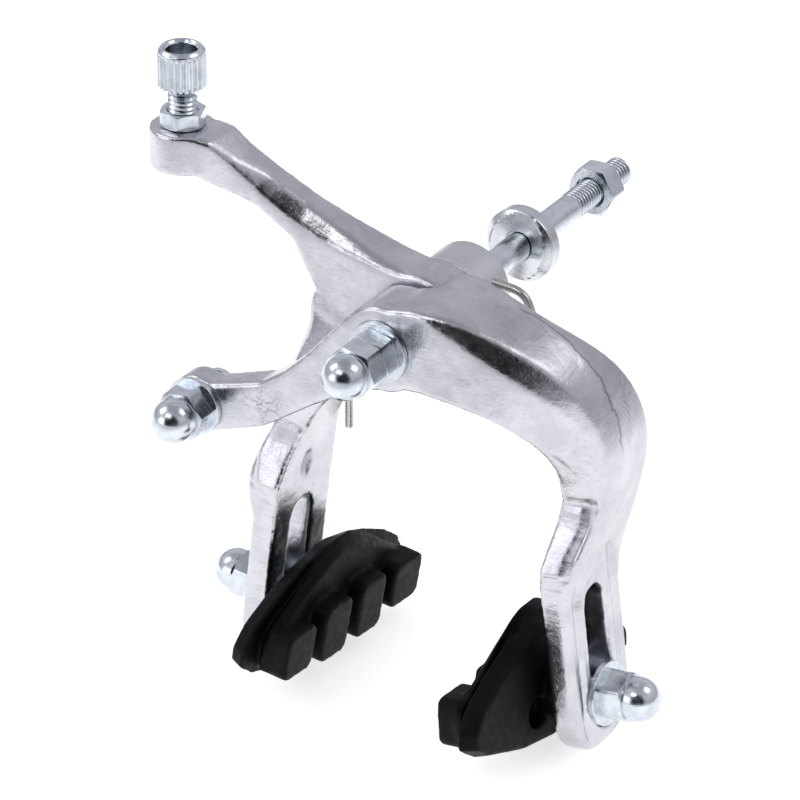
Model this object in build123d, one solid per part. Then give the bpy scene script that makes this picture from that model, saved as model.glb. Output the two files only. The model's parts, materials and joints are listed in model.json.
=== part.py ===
from build123d import *
import os
from math import sqrt

# A single-pivot side-pull bicycle brake caliper, in millimetres.
# Origin: on the mounting bolt's axis, at the seat face that rests on the fork crown.
# +Y runs rearwards along the mounting bolt, +Z is up, +X is right as seen from the front.
# Both arms are drawn closed, with their pad slots upright, and then swung open.

OPEN_ANGLE = 7.0            # each arm's swing from closed to its rest position, degrees
RUNNING_GAP = 0.05          # radial clearance of a turning fit
FACE_GAP = 0.1              # end clearance between faces that turn on each other
TINY = 0.01
UPWARD = (Align.CENTER, Align.CENTER, Align.MIN)

# M6 hardware
THREAD_R = 3.0
NUT_FLATS = 10.0
NUT_CHAMFER = 0.5
CAP_HEX_HEIGHT = 5.2
CAP_DOME_R = 4.65
CAP_NECK = 1.5              # straight neck between the hexagon and the dome's centre
CAP_THREAD_DEPTH = 8.0
FULL_NUT_HEIGHT = 5.2
JAM_NUT_HEIGHT = 4.8
WASHER_R = 6.8
WASHER_THICKNESS = 1.2

# Stack along the mounting bolt, front to rear
FRONT_HUB_FRONT = -37.0
FRONT_HUB_REAR = -25.0
REAR_HUB_FRONT = -24.0
REAR_HUB_REAR = -13.8
FRONT_HUB_R = 9.3
REAR_HUB_R = 10.6
SPOT_FACE_R = 7.5           # machined seat for the front washer
BLOCK_R = 9.0
BLOCK_LENGTH = 13.0
BLOCK_CHAMFER = 2.6
HUB_BORE_R = THREAD_R + RUNNING_GAP
BOLT_END = 58.7
MOUNT_NUT_Y = 45.2
SADDLE_WASHER_Y = 15.0
SADDLE_WASHER_LENGTH = 5.0
SADDLE_WASHER_R = 8.0
SADDLE_BORE_R = 3.2
SADDLE_CURVE_R = 13.0       # radius of the hollow that beds on the back of the crown
SADDLE_DEPTH = 1.4
SADDLE_CHAMFER = 1.6

# Slot plates, in the closed position
PLATE_INNER_X = 25.0
PLATE_THICKNESS = 6.0
PLATE_OUTER_X = PLATE_INNER_X + PLATE_THICKNESS
PLATE_FRONT_Y = -27.5
PLATE_REAR_Y = -5.5
PLATE_BOTTOM_Z = -92.2
PLATE_CORNER_R = 9.0
SLOT_WIDTH = 7.4
SLOT_TOP_Z = -56.3
SLOT_BOTTOM_Z = -88.0
STUD_Y = 0.5 * (PLATE_FRONT_Y + PLATE_REAR_Y)
STUD_Z = -80.6

# Brake shoes, in the closed position; heights and lengths are measured from the stud
PAD_TILT = 5.5              # front end raised, degrees about the stud
PAD_FACE_X = 9.75           # closes on a 19.5 mm wide rim
PAD_BLOCK_DEPTH = 4.2
PAD_TREAD_THICKNESS = 2.0   # solid layer behind the blocks
PAD_GROOVE_WIDTH = 1.5
PAD_BACK_THICKNESS = 3.8
PAD_BOSS_R = 8.0
PAD_BLOCK_CORNER_R = 2.2
PAD_BLOCK_STARTS = [-26.6, -12.2, 1.8, 15.4]
PAD_BLOCK_ENDS = [-15.6, -1.8, 11.8, 26.6]
PAD_BLOCK_TOPS = [6.3, 7.2, 7.2, 6.3]
PAD_BLOCK_BOTTOMS = [-4.2, -5.8, -5.8, -4.2]
# Half outlines as (length, height) from the middle of the top round to the middle of the bottom
TREAD_OUTLINE = [
    (2.5, 15.4),
    (6.0, 14.4),
    (12.0, 11.6),
    (19.0, 8.2),
    (25.5, 5.0),
    (27.0, 1.5),
    (26.6, -3.2),
    (13.0, -6.3),
]
HUMP_OUTLINE = [
    (2.5, 18.8),
    (6.0, 17.6),
    (12.0, 14.2),
    (19.0, 9.6),
    (25.5, 5.8),
    (27.4, 2.0),
    (27.0, -3.4),
    (13.0, -6.6),
]
BACK_OUTLINE = [
    (3.5, 16.2),
    (12.5, 14.2),
    (22.0, 10.2),
    (28.5, 6.2),
    (31.6, 2.0),
    (31.6, -1.6),
    (26.5, -5.0),
    (13.5, -9.2),
    (3.0, -10.8),
]
PAD_SHIFT = {1: -3.4, -1: 0.4}   # rubber sits a little off the stud, lengthwise
PAD_BACK_INSET = 1.8        # the back layer narrows towards its outer face
KEY_HOLE_R = 3.1            # blind hollows beside the stud in the back of the shoe
KEY_HOLE_DEPTH = 2.6
KEY_HOLE_Y = 10.0
KEY_HOLE_Z = -2.4
GROOVE_DEPTH = 1.5
PAD_MEAN_HEIGHT = 16.0
STUD_PLATE_LENGTH = 30.0
STUD_PLATE_HEIGHT = 8.0
STUD_PLATE_THICKNESS = 2.0

# Cable parts, in the rest position
ADJUSTER_X = -52.8
ADJUSTER_Y = -26.5
BOSS_TOP_Z = 31.7
BOSS_BOTTOM_Z = 23.0
BOSS_R = 6.9
ADJUSTER_HEAD_R = 4.95
ADJUSTER_HEAD_BOTTOM_Z = 39.5
ADJUSTER_TOP_Z = 48.6
ADJUSTER_THREAD_BOTTOM_Z = 23.6
ADJUSTER_FLUTES = 24
ADJUSTER_FLUTE_R = 0.42
FERRULE_R = 3.1
FERRULE_DEPTH = 6.0
CABLE_HOLE_R = 1.1
LOCK_NUT_FLATS = 8.6
LOCK_NUT_HEIGHT = 3.4
ANCHOR_X = -43.8
ANCHOR_Z = -24.5
ANCHOR_BOSS_R = 6.3
LEVER_FRONT = -37.3
LEVER_REAR = -31.6
ANCHOR_WASHER_R = 6.2
ANCHOR_HEAD_R = 4.0
ANCHOR_HEAD_LENGTH = 3.8
ANCHOR_HOLE_R = 0.9         # takes the inner wire

# Return spring
WIRE_R = 0.9
SPRING_Y = -6.8
SPRING_Z = 4.0
SPRING_LEG_X = 26.5
SPRING_BEND_X = 10.2
SPRING_BEND_R = 7.0


def at_y(shape, y):
    """Turn a shape built along +Z so that it runs along +Y, starting at y."""
    return shape.rotate(Axis.X, -90).translate((0, y, 0))


def tube_y(outer_r, inner_r, y0, y1):
    """A plain sleeve on the bolt axis between two stations."""
    length = y1 - y0
    body = Cylinder(outer_r, length, align=UPWARD)
    if inner_r:
        body -= Cylinder(inner_r, length, align=UPWARD)
    return at_y(body, y0)


def hexagon(flats, height, bore_r, both_ends=False):
    """A hexagon nut blank standing on the XY plane, flats towards +-Y, with its corners turned down."""
    corner_r = flats / sqrt(3)
    body = extrude(RegularPolygon(corner_r, 6), height)
    rim = corner_r - 1.4 * NUT_CHAMFER
    rise = 0.84 * NUT_CHAMFER
    foot = [(rim, 0), (corner_r + TINY, rise)] if both_ends else [(corner_r + TINY, 0)]
    outline = [(0, 0)] + foot + [(corner_r + TINY, height - rise), (rim, height), (0, height)]
    body &= revolve(make_face(Polyline([(r, 0, z) for r, z in outline], close=True)), Axis.Z)
    if bore_r:
        body -= Cylinder(bore_r, height, align=UPWARD)
    return body


def cap_nut():
    """A domed nut standing on the XY plane, with a blind thread from below."""
    neck_top = CAP_HEX_HEIGHT + CAP_NECK
    dome = Sphere(CAP_DOME_R).translate((0, 0, neck_top))
    neck = Cylinder(CAP_DOME_R, neck_top, align=UPWARD)
    body = hexagon(NUT_FLATS, CAP_HEX_HEIGHT, 0) + (neck + dome - below_seat())
    return body - Cylinder(THREAD_R, CAP_THREAD_DEPTH, align=UPWARD)


def below_seat():
    """Everything of the dome's ball that would hang below the nut's seat."""
    size = 4 * CAP_DOME_R
    return Box(size, size, size, align=(Align.CENTER, Align.CENTER, Align.MAX))


def washer(outer_r, inner_r, thickness):
    """A flat washer on the XY plane."""
    return Cylinder(outer_r, thickness, align=UPWARD) - Cylinder(inner_r, thickness, align=UPWARD)


def opened(shape, side):
    """Swing a closed arm, or what hangs on it, to the rest position; side +1 is the right pad."""
    return shape.rotate(Axis.Y, -side * OPEN_ANGLE)


def mirrored(shape, side):
    """Shapes are drawn for the right pad; the left one is their mirror image."""
    return shape if side > 0 else mirror(shape, Plane.YZ)


def limb_section(inner, outer, front, rear, bevel_at, bevel_depth, crown, ridge):
    """One cross-section of a limb: inner and outer (x, z), front and rear y.

    The front face is cut back by bevel_depth at the outer edge, from bevel_at of its width on.
    The outer face is crowned: highest along a ridge at y = ridge, lower by crown beside it.
    """
    reach = (outer[0] - inner[0], outer[1] - inner[1])
    low = 1 - crown / sqrt(reach[0] ** 2 + reach[1] ** 2)
    start = (inner[0] + bevel_at * reach[0], inner[1] + bevel_at * reach[1])
    edge = (inner[0] + low * reach[0], inner[1] + low * reach[1])
    corners = [
        (inner[0], front, inner[1]),
        (start[0], front, start[1]),
        (edge[0], front + bevel_depth, edge[1]),
        (outer[0], ridge, outer[1]),
        (edge[0], rear, edge[1]),
        (inner[0], rear, inner[1]),
    ]
    return make_face(Polyline(corners, close=True))


# Limb stations from hub to slot plate, drawn for the right side, closed: inner (x, z),
# outer (x, z), front y, rear y, where the bevel starts, bevel depth, crown, ridge y
FRONT_LIMB = [
    ((4.0, -8.2), (4.0, 9.3), -37.0, -17.2, 0.93, 0.8, 0.1, -24.0),
    ((13.0, -9.3), (14.6, 8.7), -37.0, -17.2, 0.85, 1.0, 0.1, -24.0),
    ((21.0, -12.2), (24.2, 5.2), -35.4, -17.6, 0.70, 2.4, 1.0, -20.6),
    ((26.6, -16.0), (31.6, 0.6), -33.0, -15.0, 0.66, 2.8, 1.6, -20.0),
    ((29.4, -20.6), (37.2, -5.6), -29.8, -11.0, 0.68, 2.4, 1.6, -19.0),
    ((30.2, -26.0), (40.9, -14.4), -26.2, -7.6, 0.76, 1.8, 1.3, -18.4),
    ((29.6, -32.0), (41.5, -24.4), -23.6, -6.0, 0.85, 1.4, 0.8, -17.6),
    ((28.2, -38.2), (38.8, -35.0), -23.0, -5.5, 0.85, 1.2, 0.4, -16.5),
    ((26.2, -45.2), (34.4, -46.0), -25.4, -5.5, 0.85, 1.2, 0.2, -16.5),
    ((25.0, -52.0), (31.4, -54.0), -27.5, -5.5, 0.80, 1.2, 0.1, -16.5),
    ((25.0, -58.0), (31.0, -58.0), -27.5, -5.5, 0.80, 1.2, 0.02, -16.5),
]
REAR_LIMB = [
    ((3.0, -10.2), (24.2, -1.9), -24.0, -13.8, 0.93, 0.8, 0.1, -18.8),
    ((10.0, -17.0), (25.0, -9.4), -24.0, -13.4, 0.90, 1.0, 0.4, -18.4),
    ((16.4, -23.8), (27.2, -17.0), -23.8, -11.8, 0.88, 1.2, 0.7, -17.6),
    ((21.0, -31.5), (29.6, -28.5), -23.4, -9.4, 0.86, 1.2, 0.7, -16.6),
    ((23.8, -39.4), (31.8, -38.8), -23.6, -7.0, 0.85, 1.4, 0.4, -16.0),
    ((24.8, -46.0), (33.6, -47.0), -25.8, -5.6, 0.85, 1.4, 0.2, -16.5),
    ((25.0, -52.0), (32.6, -54.0), -27.5, -5.5, 0.80, 1.2, 0.1, -16.5),
    ((25.0, -58.0), (31.0, -59.5), -27.5, -5.5, 0.80, 1.2, 0.02, -16.5),
]


def limb(stations):
    """The swept arm between hub and slot plate."""
    return loft([limb_section(*station) for station in stations])


def slot_outline(width, top, bottom):
    """An upright slot outline on the stud's line, seen along X."""
    plane = Plane(origin=(0, STUD_Y, 0.5 * (top + bottom)), x_dir=(0, 0, 1), z_dir=(1, 0, 0))
    return plane * SlotOverall(top - bottom, width)


def slot_plate(top_z):
    """The flat plate at the lower end of a limb, without its slot."""
    width = PLATE_REAR_Y - PLATE_FRONT_Y
    height = top_z - PLATE_BOTTOM_Z
    plate = Box(PLATE_THICKNESS, width, height, align=(Align.MIN, Align.MIN, Align.MIN))
    plate = plate.translate((PLATE_INNER_X, PLATE_FRONT_Y, PLATE_BOTTOM_Z))
    lower = plate.edges().filter_by(Axis.X).sort_by(Axis.Z)[:2]
    plate = fillet(lower, PLATE_CORNER_R)
    outer_front = plate.edges().filter_by(Axis.Z).sort_by(Axis.X)[-2:]
    return chamfer(outer_front, 1.2)


def cut_slot(arm):
    """Cut the pad slot and ease its outer edge."""
    through = slot_outline(SLOT_WIDTH, SLOT_TOP_Z, SLOT_BOTTOM_Z)
    tool = extrude(through.translate((PLATE_INNER_X - 4, 0, 0)), 20, dir=(1, 0, 0))
    return arm - tool


def lever_section(inner, outer, front, rear, bevel_depth, bevel_drop):
    """One cross-section of a cable lever; its front top edge is bevelled off."""
    reach = (outer[0] - inner[0], outer[1] - inner[1])
    low = 1 - bevel_drop / sqrt(reach[0] ** 2 + reach[1] ** 2)
    corners = [
        (inner[0], front, inner[1]),
        (inner[0] + low * reach[0], front, inner[1] + low * reach[1]),
        (outer[0], front + bevel_depth, outer[1]),
        (outer[0], rear, outer[1]),
        (inner[0], rear, inner[1]),
    ]
    return make_face(Polyline(corners, close=True))


# Cable lever stations, closed: lower (x, z), upper (x, z), front y, rear y, bevel depth, drop
FRONT_LEVER = [
    ((4.0, -8.2), (4.0, 9.3), -37.0, -25.0, 0.6, 0.6),
    ((-8.0, -10.2), (-8.0, 5.6), -37.0, -25.6, 0.6, 0.6),
    ((-14.0, -13.2), (-13.0, 1.0), -37.0, -26.6, 0.6, 0.6),
    ((-20.0, -16.0), (-19.0, -4.4), -37.1, -27.6, 0.6, 0.6),
    ((-26.0, -19.2), (-24.5, -8.6), -37.2, -28.6, 0.6, 0.6),
    ((-31.0, -21.8), (-30.0, -11.6), -37.3, -29.6, 0.6, 0.6),
    ((-46.5, -25.5), (-46.5, -14.6), -37.3, -31.6, 0.6, 0.6),
]
REAR_LEVER = [
    ((3.0, -10.2), (0.0, 9.6), -24.0, -13.8, 0.6, 0.6),
    ((-10.0, -10.0), (-10.0, 10.2), -24.0, -13.8, 1.6, 1.0),
    ((-24.2, -1.0), (-21.0, 12.8), -24.0, -15.2, 2.3, 3.0),
    ((-30.0, 7.8), (-28.6, 15.2), -24.4, -16.4, 2.6, 3.4),
    ((-38.5, 12.6), (-37.6, 18.8), -25.6, -17.6, 2.6, 2.6),
    ((-44.5, 14.6), (-43.8, 22.2), -28.0, -19.0, 1.0, 1.0),
    ((-48.5, 16.4), (-47.8, 25.3), -30.4, -20.0, 0.5, 0.5),
    ((-52.5, 18.0), (-52.5, 26.0), -32.0, -21.0, 0.5, 0.5),
]


def lever(stations):
    """A cable lever between hub and boss."""
    return loft([lever_section(*station) for station in stations], ruled=True)


def hub_bore(y0, y1):
    """The running bore for the bolt, cut a little beyond both faces."""
    return tube_y(HUB_BORE_R, 0, y0 - 1, y1 + 1)


def front_arm():
    """Y-shaped arm: cable anchor on the left, right-hand pad below."""
    hub = tube_y(FRONT_HUB_R, 0, FRONT_HUB_FRONT, FRONT_HUB_REAR)
    body = hub + lever(FRONT_LEVER) + limb(FRONT_LIMB)
    body += slot_plate(FRONT_LIMB[-1][0][1])
    body = opened(cut_slot(body), 1)
    boss = tube_y(ANCHOR_BOSS_R, 0, LEVER_FRONT, LEVER_REAR)
    body += boss.translate((ANCHOR_X, 0, ANCHOR_Z))
    anchor_bore = tube_y(THREAD_R + RUNNING_GAP, 0, LEVER_FRONT - 1, LEVER_REAR + 1)
    body -= anchor_bore.translate((ANCHOR_X, 0, ANCHOR_Z))
    body -= tube_y(ANCHOR_BOSS_R, 0, LEVER_REAR, REAR_HUB_FRONT).translate((ANCHOR_X, 0, ANCHOR_Z))
    body -= tube_y(SPOT_FACE_R, 0, FRONT_HUB_FRONT - 3, FRONT_HUB_FRONT)
    body -= tube_y(REAR_HUB_R + 1, 0, FRONT_HUB_REAR, REAR_HUB_REAR)
    return body - hub_bore(FRONT_HUB_FRONT, FRONT_HUB_REAR)


def rear_arm():
    """C-shaped arm: barrel adjuster above, left-hand pad below."""
    hub = tube_y(REAR_HUB_R, 0, REAR_HUB_FRONT, REAR_HUB_REAR)
    body = hub + lever(REAR_LEVER) + mirrored(limb(REAR_LIMB), -1)
    body += mirrored(slot_plate(REAR_LIMB[-1][0][1]), -1)
    body = opened(mirrored(cut_slot(mirrored(body, -1)), -1), -1)
    boss_height = BOSS_TOP_Z - BOSS_BOTTOM_Z
    boss = Cylinder(BOSS_R, boss_height, align=UPWARD)
    body += boss.translate((ADJUSTER_X, ADJUSTER_Y, BOSS_BOTTOM_Z))
    above = Box(40, 40, 20, align=UPWARD).translate((ADJUSTER_X, ADJUSTER_Y, BOSS_TOP_Z))
    body -= above
    bore = Cylinder(THREAD_R + RUNNING_GAP, boss_height + 20, align=UPWARD)
    body -= bore.translate((ADJUSTER_X, ADJUSTER_Y, BOSS_BOTTOM_Z - 10))
    body -= tube_y(FRONT_HUB_R + 1, 0, FRONT_HUB_FRONT, REAR_HUB_FRONT)
    body -= tube_y(BLOCK_R + 1, 0, REAR_HUB_REAR, 0)
    return body - hub_bore(REAR_HUB_FRONT, REAR_HUB_REAR)


PAD_TREAD_X = PAD_FACE_X + PAD_BLOCK_DEPTH
PAD_GROOVE_X = PAD_TREAD_X + PAD_TREAD_THICKNESS
PAD_BACK_X = PAD_GROOVE_X + PAD_GROOVE_WIDTH
PAD_BOSS_X = PLATE_INNER_X - WASHER_THICKNESS - FACE_GAP
STUD_PLATE_X = PAD_TREAD_X + 0.6
STUD_END_X = PLATE_OUTER_X + WASHER_THICKNESS + CAP_THREAD_DEPTH - 1.0


def pad_face(outline, x, inset=0.0):
    """A shoe layer's side outline, mirrored front to rear, at station x."""
    half = [(max(y - inset, 1.0), z * (1 - inset / PAD_MEAN_HEIGHT)) for y, z in outline]
    loop = half + [(-y, z) for y, z in reversed(half)]
    return make_face(Polyline([(x, STUD_Y + y, STUD_Z + z) for y, z in loop], close=True))


def pad_block(start, end, top, bottom):
    """One tread block of the braking face."""
    block = Box(PAD_BLOCK_DEPTH + 1, end - start, top - bottom, align=(Align.MIN, Align.MIN, Align.MIN))
    block = fillet(block.edges().filter_by(Axis.X), PAD_BLOCK_CORNER_R)
    return block.translate((PAD_FACE_X, STUD_Y + start, STUD_Z + bottom))


def stud():
    """The pad's threaded stud on its steel plate, which the rubber is moulded round."""
    size = (STUD_PLATE_THICKNESS, STUD_PLATE_LENGTH, STUD_PLATE_HEIGHT)
    plate = Box(*size, align=(Align.MIN, Align.CENTER, Align.CENTER))
    plate = plate.translate((STUD_PLATE_X, STUD_Y, STUD_Z))
    shank = Cylinder(THREAD_R, STUD_END_X - STUD_PLATE_X - 0.5, align=UPWARD)
    return plate + along_stud(shank, STUD_PLATE_X + 0.5)


def pad_rubber(shift):
    """The rubber shoe with its four tread blocks, before the stud is moulded in."""
    shoe = loft([pad_face(TREAD_OUTLINE, PAD_TREAD_X), pad_face(HUMP_OUTLINE, PAD_GROOVE_X)], ruled=True)
    for block in zip(PAD_BLOCK_STARTS, PAD_BLOCK_ENDS, PAD_BLOCK_TOPS, PAD_BLOCK_BOTTOMS):
        shoe += pad_block(*block)
    shoe += extrude(pad_face(HUMP_OUTLINE, PAD_GROOVE_X, GROOVE_DEPTH), PAD_GROOVE_WIDTH, dir=(1, 0, 0))
    back_end = PAD_BACK_X + PAD_BACK_THICKNESS
    back = [pad_face(BACK_OUTLINE, PAD_BACK_X), pad_face(BACK_OUTLINE, back_end, PAD_BACK_INSET)]
    shoe += loft(back, ruled=True)
    return shoe.translate((0, shift, 0))


def pad_shoe(shift):
    """The finished shoe, hollow where the stud and its plate sit."""
    back_end = PAD_BACK_X + PAD_BACK_THICKNESS
    boss = along_stud(Cylinder(PAD_BOSS_R, PAD_BOSS_X - back_end, align=UPWARD), back_end)
    shoe = pad_rubber(shift) + boss - stud()
    hole = along_stud(Cylinder(KEY_HOLE_R, KEY_HOLE_DEPTH + 5, align=UPWARD), back_end - KEY_HOLE_DEPTH)
    for side in (-1, 1):
        shoe -= hole.translate((0, side * KEY_HOLE_Y, KEY_HOLE_Z))
    return shoe


def tilted(shape):
    """Pitch a shoe about its stud, front end up."""
    axis = Axis((0, STUD_Y, STUD_Z), (1, 0, 0))
    return shape.rotate(axis, -PAD_TILT)


def along_stud(shape, x):
    """Place a fastener built along +Z on the pad stud, its base at x."""
    return shape.rotate(Axis.Y, 90).translate((x, STUD_Y, STUD_Z))


def export(shape, name):
    """Write one sub-part."""
    export_step(shape, f"parts/{name}.step")


def pad_set(side, prefix):
    """A shoe with its stud, washers and cap nut."""
    flat_washer = washer(WASHER_R, THREAD_R, WASHER_THICKNESS)
    washer_x = PLATE_OUTER_X + FACE_GAP
    pieces = {
        "pad_shoe": tilted(pad_shoe(PAD_SHIFT[side])),
        "pad_stud": tilted(stud()),
        "pad_inner_washer": along_stud(flat_washer, PAD_BOSS_X),
        "pad_outer_washer": along_stud(flat_washer, washer_x),
        "pad_cap_nut": along_stud(cap_nut(), washer_x + WASHER_THICKNESS),
    }
    for name, piece in pieces.items():
        export(opened(mirrored(piece, side), side), f"{prefix}_{name}")


def bolt_stack():
    """Everything that is fixed to the mounting bolt."""
    washer_front = FRONT_HUB_FRONT - FACE_GAP - WASHER_THICKNESS
    jam_front = washer_front - JAM_NUT_HEIGHT
    bolt = tube_y(THREAD_R, 0, jam_front - CAP_THREAD_DEPTH + 1.0, BOLT_END)
    bolt = chamfer(bolt.edges().sort_by(Axis.Y)[-1], 0.6)
    export(bolt, "pivot_bolt")
    export(tube_y(6.5, THREAD_R, washer_front, FRONT_HUB_FRONT - FACE_GAP), "pivot_front_washer")
    export(at_y(hexagon(NUT_FLATS, JAM_NUT_HEIGHT, THREAD_R, True), jam_front), "pivot_jam_nut")
    cap = cap_nut().rotate(Axis.X, 90).rotate(Axis.Y, 12)
    export(cap.translate((0, jam_front, 0)), "pivot_cap_nut")
    export(tube_y(8.0, THREAD_R, FRONT_HUB_REAR + FACE_GAP, REAR_HUB_FRONT - FACE_GAP), "arm_spacer_washer")
    export(tube_y(8.0, THREAD_R, REAR_HUB_REAR + FACE_GAP, -BLOCK_LENGTH), "rear_arm_washer")
    export(spring_block(), "spring_block")
    export(return_spring(), "return_spring")


def spring_block():
    """Round block pressed on the bolt; it seats on the crown and holds the spring."""
    block = tube_y(BLOCK_R, 0, -BLOCK_LENGTH, 0)
    block = chamfer(block.edges().sort_by(Axis.Y)[-1], BLOCK_CHAMFER)
    block -= tube_y(THREAD_R, 0, -BLOCK_LENGTH - 1, 1)
    hole = Cylinder(WIRE_R, 4 * BLOCK_R).rotate(Axis.Y, 90)
    return block - hole.translate((0, SPRING_Y, SPRING_Z))


def return_spring():
    """One wire through the block whose two legs press the arms apart."""
    corner = SPRING_BEND_X + SPRING_BEND_R
    points = [(0, SPRING_Z), (corner, SPRING_Z), (corner, -6.0), (SPRING_LEG_X, -25.0), (SPRING_LEG_X, -39.4)]
    placed = [(x, SPRING_Y, z) for x, z in points]
    path = FilletPolyline(*placed, radius=[SPRING_BEND_R - 1.0, 9.0, 9.0])
    leg = sweep(Plane(origin=placed[0], z_dir=(1, 0, 0)) * Circle(WIRE_R), path)
    return leg + mirror(leg, Plane.YZ)


def barrel_adjuster():
    """Fluted hollow screw that takes the end of the cable housing."""
    stations = [
        (0, ADJUSTER_THREAD_BOTTOM_Z),
        (THREAD_R, ADJUSTER_THREAD_BOTTOM_Z),
        (THREAD_R, ADJUSTER_HEAD_BOTTOM_Z - 0.4),
        (ADJUSTER_HEAD_R - 1.3, ADJUSTER_HEAD_BOTTOM_Z),
        (ADJUSTER_HEAD_R, ADJUSTER_HEAD_BOTTOM_Z + 1.8),
        (ADJUSTER_HEAD_R, ADJUSTER_TOP_Z - 0.5),
        (ADJUSTER_HEAD_R - 0.5, ADJUSTER_TOP_Z),
        (0, ADJUSTER_TOP_Z),
    ]
    body = revolve(make_face(Polyline([(r, 0, z) for r, z in stations], close=True)), Axis.Z)
    flute_length = ADJUSTER_TOP_Z - ADJUSTER_HEAD_BOTTOM_Z - 0.8
    flute = Cylinder(ADJUSTER_FLUTE_R, flute_length, align=UPWARD)
    flute = flute.translate((ADJUSTER_HEAD_R + 0.1, 0, ADJUSTER_HEAD_BOTTOM_Z - 0.1))
    for index in range(ADJUSTER_FLUTES):
        body -= flute.rotate(Axis.Z, index * 360 / ADJUSTER_FLUTES)
    socket = Cylinder(FERRULE_R, FERRULE_DEPTH + 1, align=UPWARD)
    body -= socket.translate((0, 0, ADJUSTER_TOP_Z - FERRULE_DEPTH))
    body -= Cylinder(CABLE_HOLE_R, 200)
    return body.translate((ADJUSTER_X, ADJUSTER_Y, 0))


def cable_parts():
    """Barrel adjuster with its lock nut, and the anchor bolt that clamps the inner wire."""
    export(barrel_adjuster(), "barrel_adjuster")
    lock_nut = hexagon(LOCK_NUT_FLATS, LOCK_NUT_HEIGHT, THREAD_R + RUNNING_GAP, True)
    lock_nut = lock_nut.translate((ADJUSTER_X, ADJUSTER_Y, BOSS_TOP_Z + FACE_GAP))
    export(lock_nut, "adjuster_lock_nut")
    place = Location((ANCHOR_X, 0, ANCHOR_Z))
    washer_front = LEVER_FRONT - FACE_GAP - WASHER_THICKNESS
    export(place * tube_y(ANCHOR_WASHER_R, THREAD_R, washer_front, LEVER_FRONT - FACE_GAP), "anchor_washer")
    cap = cap_nut().rotate(Axis.X, 90).translate((0, washer_front, 0))
    export(place * cap, "anchor_cap_nut")
    head_front = LEVER_REAR + FACE_GAP
    shank = tube_y(THREAD_R, 0, washer_front - CAP_THREAD_DEPTH + 1.0, head_front)
    head = tube_y(ANCHOR_HEAD_R, 0, head_front, head_front + ANCHOR_HEAD_LENGTH)
    wire_hole = Cylinder(ANCHOR_HOLE_R, 4 * ANCHOR_HEAD_R)
    wire_hole = wire_hole.translate((0, head_front + 0.5 * ANCHOR_HEAD_LENGTH, 0))
    export(place * (shank + head - wire_hole), "anchor_bolt")


def mounting_parts():
    """Saddle washer and nut that clamp the caliper to the fork."""
    body = tube_y(SADDLE_WASHER_R, SADDLE_BORE_R, SADDLE_WASHER_Y, SADDLE_WASHER_Y + SADDLE_WASHER_LENGTH)
    rims = body.edges().filter_by(GeomType.CIRCLE).group_by(Axis.Y)
    body = chamfer(rims[-1].sort_by(SortBy.RADIUS)[-1:], 0.8)
    rims = body.edges().filter_by(GeomType.CIRCLE).group_by(Axis.Y)
    body = chamfer(rims[0].sort_by(SortBy.RADIUS)[-1:], SADDLE_CHAMFER)
    hollow = Cylinder(SADDLE_CURVE_R, 40)
    hollow = hollow.translate((0, SADDLE_WASHER_Y + SADDLE_DEPTH - SADDLE_CURVE_R, 0))
    export(body - hollow, "saddle_washer")
    nut = at_y(hexagon(NUT_FLATS, FULL_NUT_HEIGHT, THREAD_R + RUNNING_GAP, True), MOUNT_NUT_Y)
    export(nut, "mounting_nut")


os.makedirs("parts", exist_ok=True)
bolt_stack()
export(front_arm(), "front_arm")
export(rear_arm(), "rear_arm")
pad_set(1, "right")
pad_set(-1, "left")
cable_parts()
mounting_parts()
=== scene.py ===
# %% [markdown]
# # A bicycle rim brake caliper
#
# This lesson dresses a side-pull brake caliper, piece by piece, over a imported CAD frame.
# The CAD says where every body is and how it moves. Blender's job here is the finish: forged
# and tumbled aluminium arms, zinc plated nuts, a turned block, cut threads and moulded rubber.
# Everything is in metres, with +Y running back along the mounting bolt and +Z up.

import bpy
import bmesh
import json
import math
import numpy as np
from mathutils import Matrix, Vector


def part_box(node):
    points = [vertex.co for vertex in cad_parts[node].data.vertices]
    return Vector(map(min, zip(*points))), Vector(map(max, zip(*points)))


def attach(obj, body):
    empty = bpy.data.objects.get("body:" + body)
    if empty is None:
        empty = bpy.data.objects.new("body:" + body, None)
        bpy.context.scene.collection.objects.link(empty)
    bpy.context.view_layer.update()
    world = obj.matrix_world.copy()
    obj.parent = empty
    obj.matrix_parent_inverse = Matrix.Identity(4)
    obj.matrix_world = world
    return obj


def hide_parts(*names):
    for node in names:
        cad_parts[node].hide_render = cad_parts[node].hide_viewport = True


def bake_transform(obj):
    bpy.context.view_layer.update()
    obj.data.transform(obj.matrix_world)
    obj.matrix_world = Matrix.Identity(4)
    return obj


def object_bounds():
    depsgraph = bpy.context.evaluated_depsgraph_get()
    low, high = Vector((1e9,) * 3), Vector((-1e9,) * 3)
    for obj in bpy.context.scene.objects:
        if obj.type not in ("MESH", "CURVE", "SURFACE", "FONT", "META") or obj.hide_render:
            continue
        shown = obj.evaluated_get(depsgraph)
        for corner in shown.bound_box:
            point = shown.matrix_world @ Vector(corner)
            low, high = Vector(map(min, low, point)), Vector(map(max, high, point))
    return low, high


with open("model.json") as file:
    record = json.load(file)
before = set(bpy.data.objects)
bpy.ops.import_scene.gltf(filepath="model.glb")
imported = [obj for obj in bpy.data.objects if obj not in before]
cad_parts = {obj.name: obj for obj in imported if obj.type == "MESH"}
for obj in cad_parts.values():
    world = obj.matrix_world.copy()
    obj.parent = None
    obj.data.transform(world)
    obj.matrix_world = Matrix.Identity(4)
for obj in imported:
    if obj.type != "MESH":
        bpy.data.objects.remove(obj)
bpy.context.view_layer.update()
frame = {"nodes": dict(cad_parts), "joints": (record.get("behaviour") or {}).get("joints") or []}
joints = {joint["name"]: joint for joint in frame["joints"]}
MM = 0.001

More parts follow.
